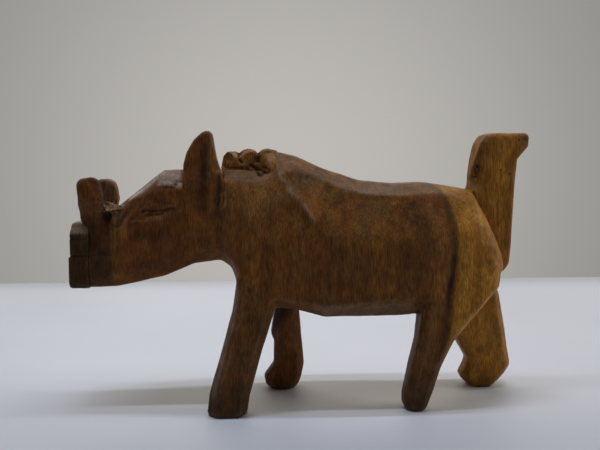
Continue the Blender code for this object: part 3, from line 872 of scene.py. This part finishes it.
def carve_ear(wood, block, node, side, shift):
    """An upright leaf of wood, hollowed down its outer face."""
    ear = Carving(f"warthog_{node}", node, SLIP_CELL, SEAM_FILL, side)
    seam = ear.seam(1.0, "carved_block")
    ear.smooth(6, 1.0 - 0.8 * seam)
    blend_in(ear, block, 61.0, 66.5)
    ear.add_paint("red", 0.5 * drop(ear.co[:, 0], -29.0 + shift, -25.0 + shift))
    ear.dent((-27.9 + shift, 11.5, 67.0), (1.7, 2.2, 9.5), 0.55)
    ear.flat((-25.0 + shift, 11.0, 70.0), (0.55, 0.8, 0.05), 4.0)
    band = [(-27.2 + shift, 75.5), (-27.9 + shift, 66.0), (-28.1 + shift, 55.0)]
    ear.line("shade", band, 2.4, 0.68, ends=0.1)
    rear = at_depth(11.2, [(-24.6 + shift, 62.0), (-24.4 + shift, 54.5)])
    ear.stroke("shade", rear, 1.5, 0.5)
    edge = [(-23.5 + shift, 67.6), (-23.7 + shift, 61.5), (-24.1 + shift, 56.0)]
    ear.line("dark", edge, 0.9, 0.80, ends=0.2)
    ear.add_paint("shade", 0.3 * ramp(ear.co[:, 2], 72.5, 76.5))
    ear.roughen((1.6, 1.6, 5.0), 0.07, 21)
    ear.roughen((0.7, 0.7, 2.6), 0.02, 22)
    ear.done(wood, seam)


def carve_tusk(wood, block, node, side, shift):
    """A blunt upright tusk, whittled narrower above."""
    tusk = Carving(f"warthog_{node}", node, SLIP_CELL, SEAM_FILL, side)
    seam = tusk.seam(1.0, "carved_block")
    tusk.smooth(9, 1.0 - 0.95 * seam)
    blend_in(tusk, block, 52.0, 60.0)
    # The pocket beside it: a hollow with painted shade in it.
    tusk.hollow((-54.4 + shift, 54.9), (1.9, 2.3), 1.2)
    tusk.spot("dark", (-54.2 + shift, 54.7), (2.3, 2.8), 0.85, ragged=0.3)
    tusk.flat((-57.0 + shift, 9.8, 61.5), (0.45, 0.85, 0.15), 4.5)
    tusk.roughen((1.7, 1.7, 3.0), 0.16, 31)
    tusk.roughen((0.7, 0.7, 2.0), 0.04, 32)
    muzzle_tints(tusk)
    if side < 0:
        # Painted shade on the faces turned back along +X, and the whole tusk darkened a little.
        behind = ramp(tusk.normals()[:, 0], 0.55, 0.85)
        tusk.add_paint("shade", np.maximum(0.30, 0.90 * behind))
        tusk.add_paint("red", 0.40)
    else:
        x, _, z = tusk.co.T
        tusk.co[:, 0] += 0.6 * ramp(x, -58.0, -55.0) * ramp(z, 57.0, 59.0)
        tusk.add_paint("bare_and_highlight", 0.10)
    # A dark spot on the outer face of the left tusk, or on the inner face of the right one.
    tusk.side = -1
    tusk.spot("dark", (-52.8, 60.4), (1.4, 2.4), 0.6, ragged=0.4)
    tusk.done(wood, seam)


def run_into_hump(mane, block):
    """Spreads the hindmost lobe of the mane until it meets the hump behind it, and carries it a
    little way on, just under the hump's surface, so that no joint shows."""
    def terms(along, up):
        u, w = along - HUMP_CENTRE[0], up - HUMP_CENTRE[1]
        return np.stack((np.ones_like(w), w, w * w, u, u * w), axis=1)

    # A curved sheet fitted to the side of the hump gives its half width.
    x, y, z = block.co.T
    facing = np.abs(block.normals()[:, 0])
    near = (x > -8.5) & (x < -5.0) & (z > 65.6) & (z < 72.2) & (facing < 0.6)
    sheet = np.linalg.lstsq(terms(x[near], z[near]), np.abs(y[near]), rcond=None)[0]

    x, y, z = mane.co.T
    start, face = LOBE_SPREADS
    end = ramp(x, face, -9.1)
    sunk = 0.5 * ramp(x, -9.5, -9.1)
    spread = ramp(x, start, face)
    half = terms(np.maximum(x, -10.0) + LOBE_OVERLAP * end, np.clip(z, 66.0, 72.0)) @ sheet
    wanted = np.maximum(half + 0.08 - sunk, 1.5)
    grown = np.maximum(wanted / LOBE_HALF_WIDTH, 1.0 * (x < face))
    mane.co[:, 1] *= 1.0 + spread * (grown - 1.0)
    # Its foot follows the slope of the neck's ledge outward.
    low = drop(z, 67.6, 70.0)
    mane.co[:, 2] -= 0.40 * spread * low * np.maximum(np.abs(y) - 4.4, 0.0)
    mane.co[:, 2] -= sunk * ramp(z, 70.5, 72.0)
    mane.co[:, 0] += LOBE_OVERLAP * end


def carve_plate(wood):
    """The flat snout, scored across in two places, its lower part a little proud."""
    plate = Carving("warthog_snout_plate", "snout_plate", SLIP_CELL)
    plate.smooth(2)
    x, _, z = plate.co.T
    proud = 0.4 * drop(z, 43.3, 44.1) * drop(x, -64.4, -63.0)
    plate.co[:, 0] += 0.5 * (x > -60.3) - proud
    for height, depth in ((48.6, 0.18), (43.8, 0.25)):
        score = [(-59.8, -8.9, height), (-64.5, -8.9, height), (-64.6, 8.9, height),
                 (-59.8, 8.9, height)]
        # Each score gets a dark line of painted shade.
        plate.groove(score, 0.5, depth, ends=0.0)
        plate.stroke("dark", score, 0.4, 0.5, ends=0.0)
    plate.roughen((1.6, 1.6, 3.0), 0.07, 41)
    # Darkened all over, less so on its upward faces, which also get a paler painted highlight.
    top = ramp(plate.normals()[:, 2], 0.3, 0.8)
    plate.add_paint("shade", 0.78 - 0.68 * top)
    plate.add_paint("bare_and_highlight", 0.30 * top)
    plate.done(wood)


def carve_mane(wood, block):
    """The mane is hacked into three ragged lobes, and the last one runs on into the hump."""
    mane = Carving("warthog_mane", "mane_crest", SLIP_CELL, SEAM_FILL)
    seam = mane.seam(0.6, "carved_block")
    mane.smooth(2, 1.0 - 0.9 * seam)
    run_into_hump(mane, block)
    for _ in mane.sides():
        mane.flat((-21.4, 2.9, 69.8), (-0.45, 0.85, 0.25), 3.2, soft=0.1)
        mane.flat((-19.6, 2.4, 71.4), (0.25, 0.40, 0.88), 2.6, soft=0.1)
        mane.flat((-16.4, 2.2, 72.2), (-0.15, 0.55, 0.82), 3.0, soft=0.1)
        mane.flat((-16.0, 3.0, 70.4), (0.10, 0.96, 0.25), 3.0, soft=0.1)
        # Each cut gets a dark line of painted shade.
        for path, width, depth in (([(-18.7, 72.4), (-18.6, 70.1), (-17.6, 68.9)], 0.6, 0.50),
                                   ([(-13.4, 72.6), (-13.2, 71.0), (-13.5, 68.9)], 0.7, 0.70),
                                   ([(-21.0, 71.9), (-20.6, 70.6)], 0.4, 0.22)):
            mane.mark(path, (width, depth), ("dark", 0.8 * width, 0.75), ends=0.1)
        mane.score([(-16.4, 72.0), (-14.8, 72.0), (-13.9, 70.4)], 0.8, -0.25)
        mane.line("orange", [(-22.6, 69.4), (-19.0, 69.2), (-16.0, 68.8)], 1.1, 0.28)
        # Painted shade along the mane's foot, above the neck's ledge.
        mane.line("dark", [(-23.2, 68.0), (-15.4, 67.7)], 0.45, 0.75)
        cut_nick(mane)
    # Painted highlight: the mane's upward faces are lighter, in tan.
    mane.add_paint("tan", 0.35 * ramp(mane.normals()[:, 2], 0.2, 0.8))
    mane.add_paint("orange", 0.22)
    mane.roughen((1.6, 1.6, 1.0), 0.10, 61)
    mane.roughen((0.6, 0.6, 0.5), 0.05, 62)
    mane.done(wood, seam)


def carve_tail(wood):
    """The tail is a hewn upright post, wider at the top, with a worm-eaten corner."""
    tail = Carving("warthog_tail", "tail", SLIP_CELL, SEAM_FILL)
    seam = tail.seam(1.0, "carved_block")
    tail.smooth(7, 1.0 - 0.8 * seam)
    tail.knife_marks((4.0, 4.0, 8.0), 0.16, 50, where=1.0 - seam)
    for _ in tail.sides():
        tail.flat((49.6, 3.8, 68.0), (-0.72, 0.7, 0.0), 7.0)
        tail.flat((50.0, 3.8, 74.5), (-0.72, 0.66, 0.2), 4.0)
        tail.flat((62.0, 4.2, 74.0), (0.35, 0.92, 0.0), 3.0)
        # Worm holes, with painted shade in them.
        for px, pz, size in ((50.1, 75.9, 0.55), (49.1, 68.0, 0.50), (48.6, 65.2, 0.60),
                             (55.4, 67.2, 0.25), (57.9, 66.0, 0.30), (60.4, 75.6, 0.30)):
            tail.dent((px, 4.0, pz), (size, 3.0, size), 0.7)
            tail.paint("dark", (px, 4.0, pz), (size * 1.2, 3.0, size * 1.2), 1.0)
        tail.dent((48.4, 3.6, 66.2), (0.9, 1.5, 1.0), 0.5)
        tail.paint("pale", (48.4, 3.6, 66.6), (0.9, 1.6, 0.9), 0.5, ragged=0.3)
        edge = at_depth(3.9, [(48.6, 61.0), (49.0, 69.0), (51.0, 76.5)])
        tail.stroke("shade", edge, 2.0, 0.5)
    # Its front edges are greyed and stained in patches.
    front = ramp(-tail.normals()[:, 0], 0.35, 0.65)
    stain = value_noise(tail.co, (1.6, 1.6, 2.6), 53)
    tail.add_paint("shade", (0.14 + 0.22 * stain) * front)
    tail.add_paint("dark", 0.42 * ramp(stain, 0.3, 0.65) * front)
    tail.add_paint("shade", 0.30 * ramp(tail.co[:, 0], 60.0, 63.5))
    tail.add_paint("red", 0.35 * drop(tail.co[:, 2], 52.0, 62.0))
    tail.roughen((2.2, 2.2, 6.0), 0.07, 51)
    tail.roughen((0.8, 0.8, 2.8), 0.02, 52)
    tail.done(wood, seam)


def carve_slips(wood, block):
    """The seven slips of wood that are let into the block."""
    carve_ear(wood, block, "left_ear", -1, 0.0)
    carve_ear(wood, block, "right_ear", 1, -2.3)
    carve_tusk(wood, block, "left_tusk", -1, 0.0)
    carve_tusk(wood, block, "right_tusk", 1, 0.4)
    carve_plate(wood)
    carve_mane(wood, block)
    carve_tail(wood)


def add_splinters(wood):
    """Torn fibres that stand up behind the left tusk, as a tuft of thin slivers."""
    rng = np.random.default_rng(FIBRE_SEED)
    sideways = np.array((0.0, 1.0, 0.0))
    corners, faces, pale = [], [], []
    for (x0, z0), (x1, z1) in FIBRES:
        depth = -rng.uniform(8.1, 8.8)
        run = np.array((x1 - x0, 0.0, z1 - z0))
        across = np.cross(unit(run), sideways)
        bow = rng.uniform(0.1, 0.35)
        first = len(corners)
        for share, width in FIBRE_RINGS:
            place = np.array((x0, depth, z0)) + share * run
            place = place + across * bow * math.sin(math.pi * share)
            for turn in range(4):
                angle = 0.25 * math.pi + 0.5 * math.pi * turn
                spin = across * math.cos(angle) + sideways * math.sin(angle)
                corners.append(tuple((place + spin * width) * MM))
                pale.append(0.45 + 0.35 * rng.random())
        last = len(corners) - 4
        faces.append((first, first + 1, first + 2, first + 3))
        for ring in range(first, last, 4):
            for turn in range(4):
                here, beside = ring + turn, ring + (turn + 1) % 4
                faces.append((here, here + 4, beside + 4, beside))
        faces.append((last + 3, last + 2, last + 1, last))
    mesh = bpy.data.meshes.new("warthog_splinters")
    mesh.from_pydata(corners, [], faces)
    mesh.attributes.new("pale", "FLOAT", "POINT").data.foreach_set("value", pale)
    mesh.attributes.new("orange", "FLOAT", "POINT").data.foreach_set("value", [0.9] * len(pale))
    mesh.materials.append(wood)
    tuft = add_object("warthog_splinters", mesh)
    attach(tuft, "root")


# ---- Floor, backdrop, light and camera ----


def add_sheet(name, corners, material):
    """A flat four-cornered sheet of the stage, its corners given in millimetres."""
    mesh = bpy.data.meshes.new(name)
    mesh.from_pydata([tuple(c * MM for c in corner) for corner in corners], [], [(0, 1, 2, 3)])
    mesh.materials.append(material)
    sheet = add_object(name, mesh)


def add_panel(name, place, size, angles, power, colour):
    """A soft oblong light. Unturned, it looks straight down."""
    light = bpy.data.lights.new(name, "AREA")
    light.shape = "RECTANGLE"
    light.size = size[0] * MM
    light.size_y = size[1] * MM
    light.energy = power
    light.color = colour
    panel = add_object(name, light)
    panel.location = [c * MM for c in place]
    panel.rotation_euler = angles


def make_wall(name):
    """A backdrop that glows by itself, a painted pool of light brightest behind the figure and
    dimmer towards the sides.
    """
    t = Tree(name)
    place = t.node("NewGeometry").outputs["Position"]
    away = t.node("VectorMath", {"operation": "SUBTRACT"}, i0=place, i1=WALL_GLOW_CENTRE)
    away = t.stretch(away.outputs[0], (1.0 / WALL_GLOW_REACH[0], 0.0, 1.0 / WALL_GLOW_REACH[1]))
    length = t.node("VectorMath", {"operation": "LENGTH"}, i0=away).outputs["Value"]
    glow = t.fit(length, 0.0, 1.0, WALL_BRIGHT, WALL_DIM)
    wall = t.node("Emission", None, Color=WALL_COLOUR, Strength=glow)
    t.node("OutputMaterial", None, Surface=wall.outputs[0])
    return t.material


def set_world():
    """The room's even light. Past the wall, the camera sees the wall's colour at the dim painted
    glow of its sides instead.
    """
    world = bpy.data.worlds.new("room")
    bpy.context.scene.world = world
    world.use_nodes = True
    nodes, link = world.node_tree.nodes, world.node_tree.links.new
    lit, seen = nodes["Background"], nodes.new("ShaderNodeBackground")
    for background, colour, strength in ((lit, WORLD_COLOUR, WORLD_STRENGTH),
                                         (seen, WALL_COLOUR, WALL_DIM)):
        background.inputs["Color"].default_value = colour
        background.inputs["Strength"].default_value = strength
    choice = nodes.new("ShaderNodeMixShader")
    path = nodes.new("ShaderNodeLightPath")
    link(path.outputs["Is Camera Ray"], choice.inputs[0])
    link(lit.outputs[0], choice.inputs[1])
    link(seen.outputs[0], choice.inputs[2])
    link(choice.outputs[0], nodes["World Output"].inputs[0])


def set_camera():
    """The close viewpoint that the photograph was taken from."""
    lens = bpy.data.cameras.new("camera")
    lens.lens = CAMERA_LENS
    lens.sensor_width = SENSOR_WIDTH
    lens.clip_start, lens.clip_end = CLIP
    camera = add_object("camera", lens)
    camera.location = [c * MM for c in CAMERA_PLACE]
    camera.rotation_euler = (math.pi / 2 - CAMERA_DOWN, 0.0, CAMERA_YAW)
    bpy.context.scene.camera = camera
    bpy.context.scene.view_settings.view_transform = "Standard"


# The figure comes first, then its stage.
wood = make_wood("carved_wood")
block = carve_block(wood)
carve_slips(wood, block)
add_splinters(wood)

add_sheet("table", TABLE_CORNERS, make_table("pale_table", TABLE_COLOUR, TABLE_ROUGHNESS))
add_sheet("wall", WALL_CORNERS, make_wall("glowing_wall"))
for panel in PANELS:
    add_panel(*panel)
set_world()
set_camera()
